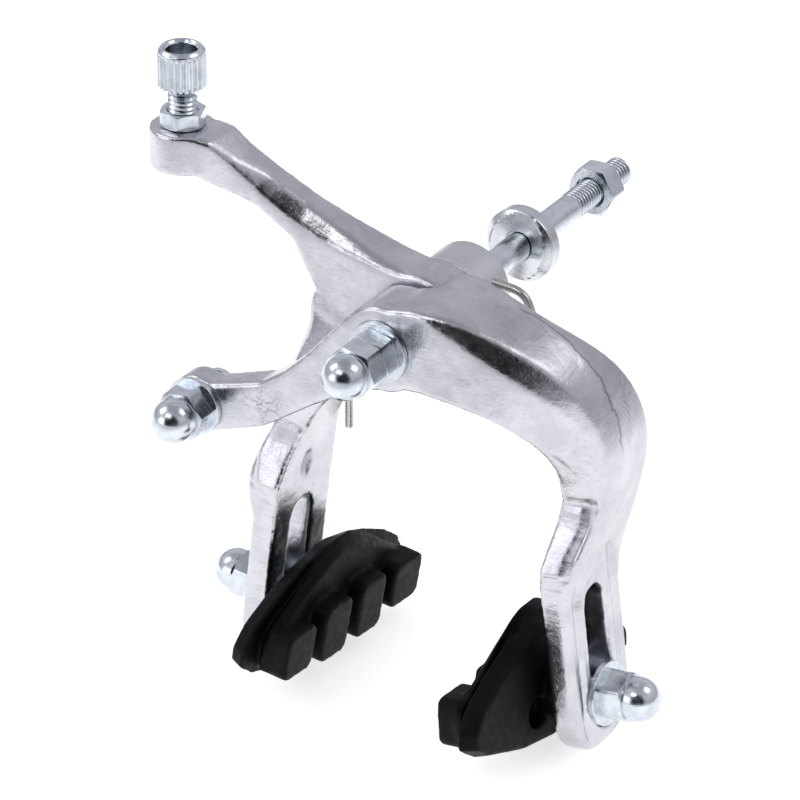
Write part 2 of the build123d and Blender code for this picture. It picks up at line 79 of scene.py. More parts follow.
# %% [markdown]
# Round parts need a place and a direction. The CAD joints give the lines that things turn
# about, and the CAD node itself tells where along such a line a part begins and ends. So the
# round parts follow the CAD: `Line` holds a point, a direction, and the way a hexagon's corner
# looks, and `span` measures a node along it.


# %% Lines that parts are strung on
class Line:
    """A part's axis: a point in mm, the direction it is built along, and where a corner points."""

    def __init__(self, point, along, corner):
        along = Vector(along).normalized()
        corner = (Vector(corner) - Vector(corner).dot(along) * along).normalized()
        self.point = Vector(point)
        self.along = along
        self.turn = Matrix((corner, along.cross(corner), along)).transposed()

    def span(self, node):
        """Where a CAD node begins and ends along this line, in mm."""
        reach = [(v.co / MM - self.point).dot(self.along) for v in frame["nodes"][node].data.vertices]
        return min(reach), max(reach)

    def place(self, points, start=0.0):
        """Points of a part built on the Z axis, in mm, moved on to this line, in metres."""
        spot = self.point + start * self.along
        return [(self.turn @ Vector(p) + spot) * MM for p in points]


def joint_point(name):
    return Vector(joints[name]["pos_m"]) / MM


def middle(node):
    low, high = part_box(node)
    return (low + high) / 2 / MM


BOLT_BACK = Line((0, 0, 0), (0, 1, 0), (1, 0, 0))
BOLT_FRONT = Line((0, 0, 0), (0, -1, 0), (0.98, 0, -0.2))
ANCHOR = Line(joint_point("anchor_turn") * Vector((1, 0, 1)), (0, -1, 0), (1, 0, 0.15))
ADJUSTER = Line((middle("barrel_adjuster") * Vector((1, 1, 0))), (0, 0, 1), (0.35, -0.94, 0))
STUDS = {
    side: Line(joint_point(side + "_pad_tilt"), joints[side + "_pad_tilt"]["axis"], (0, 0.1, 1))
    for side in ("left", "right")
}
print("stud axes", {side: tuple(round(c, 3) for c in line.along) for side, line in STUDS.items()})

# %% [markdown]
# Machined parts are made as rings. Each ring is one closed loop of points round the axis, and
# faces join each ring to the next. When a ring's radius may change with the angle, the same few
# lines make a plain washer, a hexagon nut and a domed nut. A real edge is never knife sharp,
# so `eased` rounds the corners of an outline before it is spun.


# %% Rings, outlines and meshes
def make_object(name, points, faces, sharp_deg=38):
    """A mesh object in the caliper's own frame, smooth except at its real edges."""
    mesh = bpy.data.meshes.new(name)
    mesh.from_pydata([tuple(p) for p in points], [], faces)
    work = bmesh.new()
    work.from_mesh(mesh)
    bmesh.ops.remove_doubles(work, verts=work.verts, dist=1e-7)
    bmesh.ops.recalc_face_normals(work, faces=work.faces)
    work.to_mesh(mesh)
    work.free()
    mesh.shade_smooth()
    mesh.set_sharp_from_angle(angle=math.radians(sharp_deg))
    made = bpy.data.objects.new(name, mesh)
    bpy.context.scene.collection.objects.link(made)
    return made


def eased(outline, radius, steps=3):
    """An outline of (r, z) corners with each inner corner rounded by a small arc."""
    rounded = [outline[0]]
    for before, corner, after in zip(outline, outline[1:], outline[2:]):
        a, c, b = (np.array(p, float) for p in (before, corner, after))
        reach = min(radius, 0.45 * np.linalg.norm(a - c), 0.45 * np.linalg.norm(b - c))
        back = (a - c) / max(np.linalg.norm(a - c), 1e-9)
        ahead = (b - c) / max(np.linalg.norm(b - c), 1e-9)
        start, end = c + back * reach, c + ahead * reach
        rounded.append(tuple(c + back * reach * 1.1))
        for t in np.linspace(0, 1, steps + 1):
            rounded.append(tuple((1 - t) ** 2 * start + 2 * t * (1 - t) * c + t * t * end))
        rounded.append(tuple(c + ahead * reach * 1.1))
    rounded.append(outline[-1])
    return rounded


def spin(rings, segments=96):
    """Points and faces from rings; a ring is a function of the angle that gives (r, z)."""
    points, faces = [], []
    for ring in rings:
        for i in range(segments):
            angle = 2 * math.pi * i / segments
            r, z = ring(angle)
            points.append((r * math.cos(angle), r * math.sin(angle), z))
    for k in range(len(rings) - 1):
        for i in range(segments):
            j = (i + 1) % segments
            low, high = k * segments, (k + 1) * segments
            faces.append((low + i, low + j, high + j, high + i))
    return points, faces


def fixed_rings(outline):
    return [lambda angle, r=r, z=z: (r, z) for r, z in outline]


def turned(name, line, start, outline, ease=0.12, segments=96):
    """A lathe-turned part: a closed outline spun about its line."""
    points, faces = spin(fixed_rings(eased(outline, ease)), segments)
    return make_object(name, line.place(points, start), faces)


# %% [markdown]
# A nut is a hexagon bar whose corners are turned down on a lathe at 30 degrees, which leaves
# the curved, scalloped edge seen on every nut. The height of that edge follows from the
# hexagon's radius at each angle, so it comes out exactly, with no boolean cut. The domed nuts
# of this brake carry a ball on a short neck above the hexagon.


# %% Hexagons
CONE = math.tan(math.radians(30))
NO_CHAMFER = 99.0
THREAD_R = 3.0


def hexagon_radius(angle, flats):
    """Distance from the axis to a slightly rounded hexagon, with a corner at angle 0."""
    off_flat = (angle % (math.pi / 3)) - math.pi / 6
    straight = flats / 2 / math.cos(off_flat)
    limit = flats / math.sqrt(3) * 0.975
    return (straight ** -40 + limit ** -40) ** (-1 / 40)


def cone_ring(flats, seat, height, direction):
    """The edge where the 30 degree cone cuts the hexagon."""
    return lambda angle: (
        hexagon_radius(angle, flats),
        height - direction * max(hexagon_radius(angle, flats) - seat, 0) * CONE,
    )


def hexagon_rings(flats, height, both_ends):
    """The outside of a hexagon nut from its lower face to its upper face."""
    seat = flats / 2 * 0.97
    lower_edge = cone_ring(flats, seat if both_ends else NO_CHAMFER, 0, -1)
    upper_edge = cone_ring(flats, seat, height, 1)
    lower_face = fixed_rings([(seat - 0.5, 0), (seat, 0)])
    upper_face = fixed_rings([(seat, height), (seat - 0.35, height)])
    return lower_face + [lower_edge, upper_edge] + upper_face


def open_nut(name, line, start, flats, height, bore):
    inside = [(bore, 0.45), (bore + 0.45, 0)]
    top = [(bore + 0.45, height), (bore, height - 0.45)]
    rings = fixed_rings(inside) + hexagon_rings(flats, height, True) + fixed_rings(top + inside[:1])
    points, faces = spin(rings, 120)
    return make_object(name, line.place(points, start), faces, 22)


def domed_nut(name, line, start, flats=10.0, hexagon=5.2, dome_r=4.65, neck=1.5, blind=8.0):
    below = [(0.001, blind), (THREAD_R, blind), (THREAD_R, 0.4), (THREAD_R + 0.5, 0)]
    waist = [(dome_r - 0.25, hexagon + 0.02), (dome_r - 0.12, hexagon + 0.35), (dome_r, hexagon + 0.6)]
    ball = [
        (dome_r * math.cos(a), hexagon + neck + dome_r * math.sin(a))
        for a in np.linspace(0, math.pi / 2 - 0.004, 20)
    ]
    rings = fixed_rings(below) + hexagon_rings(flats, hexagon, False) + fixed_rings(waist + ball)
    points, faces = spin(rings, 120)
    return make_object(name, line.place(points, start), faces, 22)


def flat_ring(name, line, node, outer, bore):
    """A plain washer that fills a CAD node's length."""
    low, high = line.span(node)
    outline = [(bore, low), (outer, low), (outer, high), (bore, high), (bore, low)]
    return turned(name, line, 0.0, outline, 0.18)


# %% [markdown]
# ## Finishes
#
# Four kinds of finish cover the whole brake. Each is a node material that reads Object
# coordinates, so its grain has a true size in metres and stays on the surface when a part moves.
# `Nodes` is a small helper: it adds a node, sets its inputs by name and links them in one line.


# %% A small helper for node materials
class Nodes:
    def __init__(self, name):
        self.material = bpy.data.materials.new(name)
        self.material.use_nodes = True
        self.tree = self.material.node_tree
        self.shader = self.tree.nodes["Principled BSDF"]
        self.place = self.add("ShaderNodeTexCoord").outputs["Object"]

    def add(self, kind, settings=None, **inputs):
        node = self.tree.nodes.new(kind)
        for key, value in (settings or {}).items():
            setattr(node, key, value)
        for key, value in inputs.items():
            self.feed(node, key.replace("_", " "), value)
        return node

    def feed(self, node, key, value):
        socket = node.inputs[int(key)] if key.isdigit() else node.inputs[key]
        if isinstance(value, bpy.types.NodeSocket):
            self.tree.links.new(value, socket)
        else:
            socket.default_value = value

    def stretched(self, scale, turn=(0, 0, 0)):
        mapping = self.add("ShaderNodeMapping", Vector=self.place, Scale=scale, Rotation=turn)
        return mapping.outputs["Vector"]

    def noise(self, scale, detail=3.0, rough=0.55, vector=None, distortion=0.0):
        made = self.add("ShaderNodeTexNoise", Vector=vector or self.place, Scale=scale, Detail=detail)
        made.inputs["Roughness"].default_value = rough
        made.inputs["Distortion"].default_value = distortion
        return made.outputs["Fac"]

    def pits(self, scale):
        cells = self.add("ShaderNodeTexVoronoi", Vector=self.place, Scale=scale, Randomness=1.0)
        return cells.outputs["Distance"]

    def between(self, value, low, high, to_low, to_high, smooth=False):
        kind = "SMOOTHSTEP" if smooth else "LINEAR"
        made = self.add("ShaderNodeMapRange", {"interpolation_type": kind}, Value=value)
        ends = {"From Min": low, "From Max": high, "To Min": to_low, "To Max": to_high}
        for key, number in ends.items():
            self.feed(made, key, number)
        return made.outputs["Result"]

    def math(self, operation, a, b=0.0):
        made = self.add("ShaderNodeMath", {"operation": operation})
        self.feed(made, "0", a)
        self.feed(made, "1", b)
        return made.outputs[0]

    def mix(self, share, first, second):
        made = self.add("ShaderNodeMix", {"data_type": "RGBA"})
        self.tree.links.new(share, made.inputs["Factor"])
        for socket, colour in ((made.inputs[6], first), (made.inputs[7], second)):
            if isinstance(colour, bpy.types.NodeSocket):
                self.tree.links.new(colour, socket)
            else:
                socket.default_value = (*colour, 1.0)
        return made.outputs[2]

    def bump(self, height, distance, strength=1.0, under=None):
        made = self.add("ShaderNodeBump", Height=height, Distance=distance, Strength=strength)
        if under is not None:
            self.tree.links.new(under, made.inputs["Normal"])
        return made.outputs["Normal"]

    def finish(self, **inputs):
        for key, value in inputs.items():
            self.feed(self.shader, key.replace("_", " "), value)
        return self.material


# %% [markdown]
# The arms are drop-forged aluminium that was ground along its edges and then tumbled until it
# shone. Up close such a surface has three scales: a lazy waviness that bends reflections, fine
# scratches from handling, and scattered pits left by the forging skin. The colour is nearly
# even, with slightly darker, oxidised specks in the pits.


# %% Forged aluminium
def forged_aluminium():
    n = Nodes("forged_aluminium")
    waves = n.noise(260, 2.0, 0.5)
    grain = n.noise(2600, 4.0, 0.6)
    scratches = n.noise(1700, 3.0, 0.7, n.stretched((0.14, 2.0, 0.9), (0.2, 0.5, 0.3)), 0.3)
    hairs = n.noise(1500, 2.0, 0.8, n.stretched((1.6, 0.08, 0.7), (0.7, 0.1, 0.9)))
    pits = n.between(n.pits(1500), 0.02, 0.16, 0.0, 1.0, True)
    rare = n.between(n.noise(420, 3.0, 0.6), 0.56, 0.66, 0.0, 1.0, True)
    pitted = n.math("SUBTRACT", 1.0, n.math("MULTIPLY", n.math("SUBTRACT", 1.0, pits), rare))
    normal = n.bump(waves, 0.0005, 0.40)
    normal = n.bump(scratches, 0.00007, 0.60, normal)
    normal = n.bump(hairs, 0.00005, 0.50, normal)
    normal = n.bump(grain, 0.00006, 0.65, normal)
    normal = n.bump(pitted, 0.00012, 0.80, normal)
    clouds = n.between(n.noise(110, 5.0, 0.65), 0.35, 0.68, 0.0, 1.0, True)
    colour = n.mix(clouds, (0.66, 0.66, 0.69), (0.55, 0.55, 0.585))
    streaks = n.between(scratches, 0.54, 0.72, 0.0, 0.40, True)
    colour = n.mix(streaks, colour, (0.36, 0.36, 0.385))
    colour = n.mix(pitted, (0.30, 0.30, 0.32), colour)
    # The stored values darken the colour and dent the surface: the seam, file strokes and cracks are
    # real marks, and the darkening in the thumbnail hollow is painted shade.
    marks_and_shade = n.add("ShaderNodeAttribute", {"attribute_name": "marks_and_shade"}).outputs["Fac"]
    ragged_marks_and_shade = n.math("MULTIPLY", marks_and_shade, n.between(grain, 0.35, 0.60, 0.45, 1.0))
    normal = n.bump(ragged_marks_and_shade, 0.00020, -0.8, normal)
    colour = n.mix(ragged_marks_and_shade, colour, (0.07, 0.07, 0.08))
    rough = n.between(n.noise(520, 5.0, 0.65), 0.3, 0.7, 0.13, 0.26)
    return n.finish(Base_Color=colour, Metallic=1.0, Roughness=rough, Normal=normal)


# %% [markdown]
# The fasteners are steel with a thin blue-white zinc coat. The coat is smooth and bright, so
# most of what is seen is reflection, softened by a faint orange-peel and some cloudy stains.


# %% Zinc plated steel
def zinc_plate():
    n = Nodes("zinc_plate")
    peel = n.noise(1900, 3.0, 0.6)
    rub = n.noise(2400, 2.0, 0.7, n.stretched((0.25, 0.25, 1.4), (0.4, 0.9, 0.0)))
    normal = n.bump(peel, 0.00003, 0.45)
    normal = n.bump(rub, 0.00003, 0.35, normal)
    clouds = n.between(n.noise(330, 4.0, 0.6), 0.38, 0.66, 0.0, 1.0, True)
    colour = n.mix(clouds, (0.72, 0.76, 0.80), (0.60, 0.64, 0.69))
    rough = n.between(n.noise(800, 4.0, 0.6), 0.3, 0.7, 0.13, 0.28)
    return n.finish(Base_Color=colour, Metallic=1.0, Roughness=rough, Normal=normal)


# %% [markdown]
# The block behind the arms and the hollow washer come straight off a lathe. Their tool marks
# are rings round the bolt, so the height only depends on how far back along the bolt a point is,
# and on its distance from the bolt on the end faces. The spring wire borrows the same finish in
# a darker, warmer tone.


# %% Lathe-turned metal
def turned_metal(name, bright, tint):
    n = Nodes(name)
    split = n.add("ShaderNodeSeparateXYZ", Vector=n.place)
    square_x = n.math("POWER", split.outputs["X"], 2.0)
    square_z = n.math("POWER", split.outputs["Z"], 2.0)
    radius = n.math("SQRT", n.math("ADD", square_x, square_z))
    along = n.add("ShaderNodeCombineXYZ", X=radius, Y=split.outputs["Y"], Z=0.0).outputs["Vector"]
    rings = n.noise(5200, 2.0, 0.7, along)
    broad = n.noise(900, 3.0, 0.6, along)
    dust = n.noise(2200, 3.0, 0.6)
    normal = n.bump(rings, 0.00003, 0.55)
    normal = n.bump(dust, 0.00002, 0.35, normal)
    colour = n.mix(n.between(broad, 0.35, 0.65, 0.0, 1.0), tint, tuple(0.86 * c for c in tint))
    rough = n.between(dust, 0.3, 0.7, bright, bright + 0.14)
    return n.finish(Base_Color=colour, Metallic=1.0, Roughness=rough, Normal=normal)


# %% [markdown]
# Moulded brake rubber is almost black, satin, and slightly dusty. A fine pebble comes from the
# mould, broad patches where it was handled carry a painted sheen, a slightly lighter colour, and
# pale specks of dust stick to it here and there.


# %% Brake rubber
def brake_rubber():
    n = Nodes("brake_rubber")
    pebble = n.noise(3600, 4.0, 0.6)
    swell = n.noise(300, 2.0, 0.5)
    specks = n.between(n.pits(520), 0.0, 0.035, 1.0, 0.0, True)
    kept = n.between(n.noise(140, 2.0, 0.5), 0.52, 0.60, 0.0, 1.0, True)
    dusty = n.math("MULTIPLY", specks, kept)
    normal = n.bump(swell, 0.0004, 0.12)
    normal = n.bump(pebble, 0.00004, 0.55, normal)
    # Broad patches are painted slightly lighter as a painted sheen where the rubber was handled.
    painted_sheen_patches = n.between(n.noise(110, 4.0, 0.6), 0.35, 0.65, 0.0, 1.0, True)
    colour = n.mix(painted_sheen_patches, (0.0018, 0.0018, 0.0020), (0.0042, 0.0042, 0.0045))
    colour = n.mix(dusty, colour, (0.30, 0.30, 0.29))
    rough = n.between(n.noise(700, 4.0, 0.6), 0.3, 0.7, 0.42, 0.62)
    return n.finish(
        Base_Color=colour, Metallic=0.0, Roughness=rough, Specular_IOR_Level=0.12, Normal=normal
    )


ALUMINIUM = forged_aluminium()
ZINC = zinc_plate()
BLOCK_METAL = turned_metal("turned_block", 0.30, (0.72, 0.73, 0.74))
WASHER_METAL = turned_metal("turned_washer", 0.16, (0.70, 0.72, 0.74))
WIRE = turned_metal("spring_wire", 0.20, (0.58, 0.565, 0.53))
RUBBER = brake_rubber()
print("finishes", [m.name for m in bpy.data.materials])

# %% [markdown]
# Every finished piece is then given its finish and the body it rides on, and the CAD nodes it
# stands for are hidden. Doing it in one place keeps the pieces from being forgotten.


# %% Hand a piece over to the frame
made_pieces = {}


def hand_over(piece, finish, slot, body, *nodes):
    piece.data.materials.clear()
    piece.data.materials.append(finish)
    made_pieces[piece.name] = len(piece.data.polygons)
    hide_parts(*nodes)
    if body:
        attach(piece, body)
    return piece


# %% [markdown]
# ## The arms
#
# A forging has no sharp corners: metal flows round them and tumbling wears them down. The
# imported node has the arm's true planes, so a copy of it is merged, rebuilt on an even grid of
# small cells (a voxel remesh) and relaxed a little. That rounds every edge by much the same
# small amount, as tumbling does. Fine forms such as the border round the slot are then pressed in
# by moving points along their normals, each by a formula in the arm's own closed position. The
# formulas see both arms as the right one, because their limbs are nearly mirror images.


# %% Forged and moulded skins
def relaxed(piece, times):
    """The piece's mesh, as a plain mesh, after its points have been drawn together a few times."""
    ease = piece.modifiers.new("ease", "SMOOTH")
    ease.factor = 0.5
    ease.iterations = times
    depsgraph = bpy.context.evaluated_depsgraph_get()
    return bpy.data.meshes.new_from_object(piece.evaluated_get(depsgraph))


def skin_of(node, name, cell, relax):
    """A softened copy of a CAD node on an even grid of cells, in mm."""
    mesh = frame["nodes"][node].data.copy()
    work = bmesh.new()
    work.from_mesh(mesh)
    bmesh.ops.remove_doubles(work, verts=work.verts, dist=2e-6)
    work.to_mesh(mesh)
    work.free()
    rough = bpy.data.objects.new(name + "_rough", mesh)
    bpy.context.scene.collection.objects.link(rough)
    grid = rough.modifiers.new("grid", "REMESH")
    grid.mode = "VOXEL"
    grid.voxel_size = cell * MM
    skin = relaxed(rough, relax)
    bpy.data.objects.remove(rough)
    skin.name = name
    skin.materials.clear()
    skin.shade_smooth()
    made = bpy.data.objects.new(name, skin)
    bpy.context.scene.collection.objects.link(made)
    return made


def read_points(mesh):
    """Positions in mm and normals of a mesh's points."""
    where = np.zeros(len(mesh.vertices) * 3, np.float32)
    facing = np.zeros(len(mesh.vertices) * 3, np.float32)
    mesh.vertices.foreach_get("co", where)
    mesh.vertices.foreach_get("normal", facing)
    return where.reshape(-1, 3).astype(float) / MM, facing.reshape(-1, 3).astype(float)


def closed_view(points, side):
    """Turn points of an open arm back to its closed position, always drawn as the right one."""
    angle = math.radians(7.0) * side
    x = points[:, 0] * math.cos(angle) + points[:, 2] * math.sin(angle)
    z = -points[:, 0] * math.sin(angle) + points[:, 2] * math.cos(angle)
    return np.stack([side * x, points[:, 1], z], 1)


def press(piece, depth_of, forward_of, marks_and_shade_of, side):
    """Move points out by depth_of and forward by forward_of, in mm, and store the darkness of marks
    and painted shade that the last function gives.
    """
    where, facing = read_points(piece.data)
    place, out = closed_view(where, side), closed_view(facing, side)
    moved = (where + facing * depth_of(place, out)[:, None]) * MM
    moved[:, 1] -= forward_of(place) * MM
    piece.data.vertices.foreach_set("co", moved.astype(np.float32).ravel())
    # The stored values are the arm's marks together with painted shade in the thumbnail hollow.
    marks_and_shade = piece.data.attributes.new("marks_and_shade", "FLOAT", "POINT")
    marks_and_shade.data.foreach_set("value", np.clip(marks_and_shade_of(place, out, side), 0, 1).astype(np.float32))
    piece.data.update()
    piece.data = relaxed(piece, 7)
    piece.modifiers.clear()
    return piece


def step(value, low, high):
    t = np.clip((value - low) / (high - low), 0, 1)
    return t * t * (3 - 2 * t)


def ridge(value, centre, width):
    return np.exp(-(((value - centre) / width) ** 2))


# %% [markdown]
# Round the shoe's slot the forging has a raised lip, with a shallow gutter outside it that ends
# in a point above the slot. The distance to the slot's own centre line drives both.


# %% Forms pressed into the arms
SLOT_Y = -16.5
SLOT_LOW = -84.3
SLOT_HIGH = -60.0
DIMPLE_Y = -17.0
DIMPLE_Z = -47.5


def slot_lip(p, facing):
    """Gutter and lip round the slot on the outer face of the plate."""
    off_end = np.maximum(p[:, 2] - SLOT_HIGH, 0) * 0.55 + np.maximum(SLOT_LOW - p[:, 2], 0)
    away = np.hypot(p[:, 1] - SLOT_Y, off_end)
    outside = step(facing[:, 0], 0.5, 0.85) * step(p[:, 0], 28.0, 29.5) * step(-p[:, 2], 46.0, 50.0)
    return outside * (-0.95 * ridge(away, 7.4, 0.8) + 0.20 * ridge(away, 5.3, 1.0))


def facet_forward(p):
    """How far forward the limb's front bulges into a crisp facet above the plate."""
    levels = [-56.0, -52.0, -45.6, -37.0, -29.0]
    skin_y = np.interp(p[:, 2], levels, [-27.5, -27.5, -25.5, -23.2, -23.5])
    front = step(skin_y - p[:, 1], -3.0, -0.3) * step(p[:, 0], 21.0, 23.0)
    heights = [-55.0, -52.0, -49.9, -49.3, -42.0, -36.5, -34.8, -33.0]
    return front * np.interp(p[:, 2], heights, [0.0, 0.05, 0.45, 0.85, 0.60, 0.10, -0.45, 0.0])


def front_scoop(p, facing):
    """The scoop beside the facet, along the limb's front outer edge."""
    edge = np.interp(p[:, 2], [-52.0, -46.0, -39.3, -33.0], [31.3, 32.6, 35.4, 36.2])
    along = step(p[:, 2], -52.0, -48.5) * step(-p[:, 2], 32.0, 37.0) * step(-facing[:, 1], 0.2, 0.6)
    return -0.9 * along * ridge(p[:, 0], edge, 1.2)


def slot_dimple(p, facing):
    """Long thumbnail hollow above the slot on the inner face."""
    inside = step(-facing[:, 0], 0.4, 0.8)
    reach = np.hypot((p[:, 1] - DIMPLE_Y) / 2.2, (p[:, 2] - DIMPLE_Z) / 5.0)
    return -0.7 * inside * step(-reach, -1.0, -0.3)


def arm_forms(p, facing):
    return slot_lip(p, facing) + front_scoop(p, facing) + slot_dimple(p, facing)


# %% [markdown]
# Marks tell how the arm was made. The two halves of the forging die meet along the outside of
# the limb and leave a crooked seam; folds in the skin show as fine cracks on the cable lever;
# and a file has left short strokes where the seam was dressed at the outer corner. The thumbnail
# hollow above the slot is darkened as well, which is painted shade.


# %% Marks and painted shade on the arms
def wiggle(value, scale, seed):
    """A smooth crooked line made from three waves."""
    steps = np.array([1.0, 2.3, 5.1])
    return sum(np.sin(value * scale * k + seed * k) / k ** 0.6 for k in steps) / 2


def seam_marks(p, facing):
    outward = step(facing[:, 0] + facing[:, 2], 0.3, 0.6) * step(p[:, 0], 22.0, 24.0)
    middle_y = np.interp(p[:, 2], [-24.4, -14.4, -5.6, 0.6, 5.2], [-17.6, -18.4, -19.0, -20.0, -20.4])
    line = ridge(p[:, 1], middle_y + 0.5 * wiggle(p[:, 2], 0.7, 1.0), 0.26)
    return 0.85 * outward * line * step(p[:, 2], -27.0, -20.0) * step(-p[:, 2], -9.0, -6.0)


def file_marks(p, facing):
    outward = step(facing[:, 0], 0.4, 0.7)
    strokes = ridge((p[:, 1] * 1.1 + p[:, 2] * 0.6) % 1.3, 0.6, 0.20)
    patch = ridge(p[:, 2], -16.5, 3.2) * ridge(p[:, 1], -13.5, 3.6)
    uneven = 0.5 + 0.5 * wiggle(p[:, 1], 1.9, 2.0)
    return 0.7 * outward * strokes * patch * uneven


def fold_marks(p, facing, side):
    """Cracks in the skin of the front arm's cable lever, and a short slit in its limb."""
    front = step(-facing[:, 1], 0.5, 0.8) * (side > 0)
    near = ridge(p[:, 0], -29.5, 4.2) * ridge(p[:, 2], -17.0, 3.6)
    webs = np.zeros(len(p))
    for seed in (0.0, 1.7, 3.1, 4.4):
        across = p[:, 0] * math.cos(seed) + p[:, 2] * math.sin(seed)
        along = p[:, 2] * math.cos(seed) - p[:, 0] * math.sin(seed)
        webs = np.maximum(webs, ridge((across + 1.3 * wiggle(along, 0.8, seed)) % 4.6, 2.3, 0.17))
    slit = ridge(p[:, 0] + 0.5 * p[:, 2], 20.6, 0.35) * ridge(p[:, 2], -24.0, 2.0)
    return front * (0.8 * webs * near + slit)


def arm_marks_and_shade(p, facing, side):
    inside = step(-facing[:, 0], 0.4, 0.8)
    # The thumbnail hollow above the slot is darkened as well: this is painted shade in the hollow.
    painted_dimple_shade = 0.55 * inside * ridge(p[:, 1], DIMPLE_Y, 1.5) * ridge(p[:, 2], DIMPLE_Z, 3.0)
    return seam_marks(p, facing) + file_marks(p, facing) + fold_marks(p, facing, side) + painted_dimple_shade


for node, side in (("front_arm", 1), ("rear_arm", -1)):
    arm = skin_of(node, node + "_forging", cell=0.36, relax=24)
    press(arm, arm_forms, facet_forward, arm_marks_and_shade, side)
    hand_over(arm, ALUMINIUM, "arm_alloy", node, node)
    print(arm.name, len(arm.data.polygons), "faces")

# %% [markdown]
# ## The brake shoes
#
# A shoe is one moulding, so it gets the same treatment with finer cells: the mould's corners
# have a small radius all round.

# %% Shoes
for side in ("left", "right"):
    shoe = skin_of(side + "_pad_shoe", side + "_shoe_rubber", cell=0.32, relax=26)
    hand_over(shoe, RUBBER, "pad_rubber", side + "_pad", side + "_pad_shoe")
    print(shoe.name, len(shoe.data.polygons), "faces")

# %% [markdown]
# Each shoe hangs on an M6 stud. From the rubber outwards there is a washer, the arm's plate, a
# second washer and a domed nut. The stud's plate is buried in the rubber and never shows, so it
# is only in the CAD and just the shank is turned here.

# %% Shoe studs and their hardware
for side, line in STUDS.items():
    low, high = line.span(side + "_pad_stud")
    shank = [(0.001, low + 0.5), (THREAD_R - 0.05, low + 0.5), (THREAD_R - 0.05, high - 0.5)]
    shank += [(THREAD_R - 0.6, high), (0.001, high)]
    stud = turned(side + "_shoe_stud", line, 0.0, shank)
    hand_over(stud, ZINC, "zinc_steel", side + "_pad", side + "_pad_stud")
    for place in ("inner", "outer"):
        node = f"{side}_pad_{place}_washer"
        ring = flat_ring(f"{side}_{place}_washer", line, node, 6.8, THREAD_R)
        hand_over(ring, ZINC, "zinc_steel", side + "_pad_carriage", node)
    base = line.span(side + "_pad_cap_nut")[0]
    nut = domed_nut(side + "_domed_nut", line, base)
    hand_over(nut, ZINC, "zinc_steel", side + "_pad_carriage", side + "_pad_cap_nut")

# %% [markdown]
# ## Threads
#
# A screw thread is a ridge that climbs round a core: a helix is the path and a small triangle
# its section. That is a rule, so Geometry Nodes make it. The tree takes the length, pitch,
# radius and ridge height as named inputs, sweeps the triangle along a Spiral curve, and sets
# the finish. The result is turned into a plain mesh and joined to its core.


# %% The thread tree
def add_input(tree, name, kind, value=None):
    socket = tree.interface.new_socket(name=name, in_out="INPUT", socket_type=kind)
    if value is not None:
        socket.default_value = value
    return socket.identifier


def thread_tree():
    """Geometry nodes for a thread ridge on the Z axis; lengths in metres."""
    tree = bpy.data.node_groups.new("thread_ridge", "GeometryNodeTree")
    tree.interface.new_socket(name="Geometry", in_out="OUTPUT", socket_type="NodeSocketGeometry")
    keys = {
        "turns": add_input(tree, "Turns", "NodeSocketFloat", 10.0),
        "height": add_input(tree, "Length", "NodeSocketFloat", 0.01),
        "radius": add_input(tree, "Core radius", "NodeSocketFloat", 0.0026),
        "ridge": add_input(tree, "Ridge size", "NodeSocketFloat", 0.0005),
        "finish": add_input(tree, "Finish", "NodeSocketMaterial"),
    }
    nodes, link = tree.nodes, tree.links.new
    given = nodes.new("NodeGroupInput")
    helix = nodes.new("GeometryNodeCurveSpiral")
    helix.inputs["Resolution"].default_value = 40
    section = nodes.new("GeometryNodeCurvePrimitiveCircle")
    section.inputs["Resolution"].default_value = 4
    upright = nodes.new("GeometryNodeSetCurveNormal")
    upright.mode = "Z_UP"
    sweep = nodes.new("GeometryNodeCurveToMesh")
    sweep.inputs["Fill Caps"].default_value = True
    realize = nodes.new("GeometryNodeRealizeInstances")
    paint = nodes.new("GeometryNodeSetMaterial")
    result = nodes.new("NodeGroupOutput")
    link(given.outputs["Turns"], helix.inputs["Rotations"])
    link(given.outputs["Length"], helix.inputs["Height"])
    link(given.outputs["Core radius"], helix.inputs["Start Radius"])
    link(given.outputs["Core radius"], helix.inputs["End Radius"])
    link(given.outputs["Ridge size"], section.inputs["Radius"])
    link(helix.outputs["Curve"], upright.inputs["Curve"])
    link(upright.outputs["Curve"], sweep.inputs["Curve"])
    link(section.outputs["Curve"], sweep.inputs["Profile Curve"])
    link(sweep.outputs["Mesh"], realize.inputs["Geometry"])
    link(realize.outputs["Geometry"], paint.inputs["Geometry"])
    link(given.outputs["Finish"], paint.inputs["Material"])
    link(paint.outputs["Geometry"], result.inputs["Geometry"])
    return tree, keys


def grown_mesh(tree, values, name):
    """Run a node tree on an empty mesh and return what it grows as a plain mesh."""
    holder = bpy.data.objects.new(name + "_holder", bpy.data.meshes.new(name))
    bpy.context.scene.collection.objects.link(holder)
    grow = holder.modifiers.new("grow", "NODES")
    grow.node_group = tree
    for key, value in values.items():
        grow[key] = value
    depsgraph = bpy.context.evaluated_depsgraph_get()
    mesh = bpy.data.meshes.new_from_object(holder.evaluated_get(depsgraph))
    bpy.data.objects.remove(holder)
    return mesh


THREAD_TREE, THREAD_KEYS = thread_tree()
PITCH = 1.0
RIDGE = 0.46
CORE_R = THREAD_R - 2 * RIDGE + 0.28


def thread_mesh(length, finish, outer=THREAD_R):
    values = {
        THREAD_KEYS["turns"]: length / PITCH,
        THREAD_KEYS["height"]: length * MM,
        THREAD_KEYS["radius"]: (outer - RIDGE) * MM,
        THREAD_KEYS["ridge"]: RIDGE * MM,
        THREAD_KEYS["finish"]: finish,
    }
    return grown_mesh(THREAD_TREE, values, "thread")


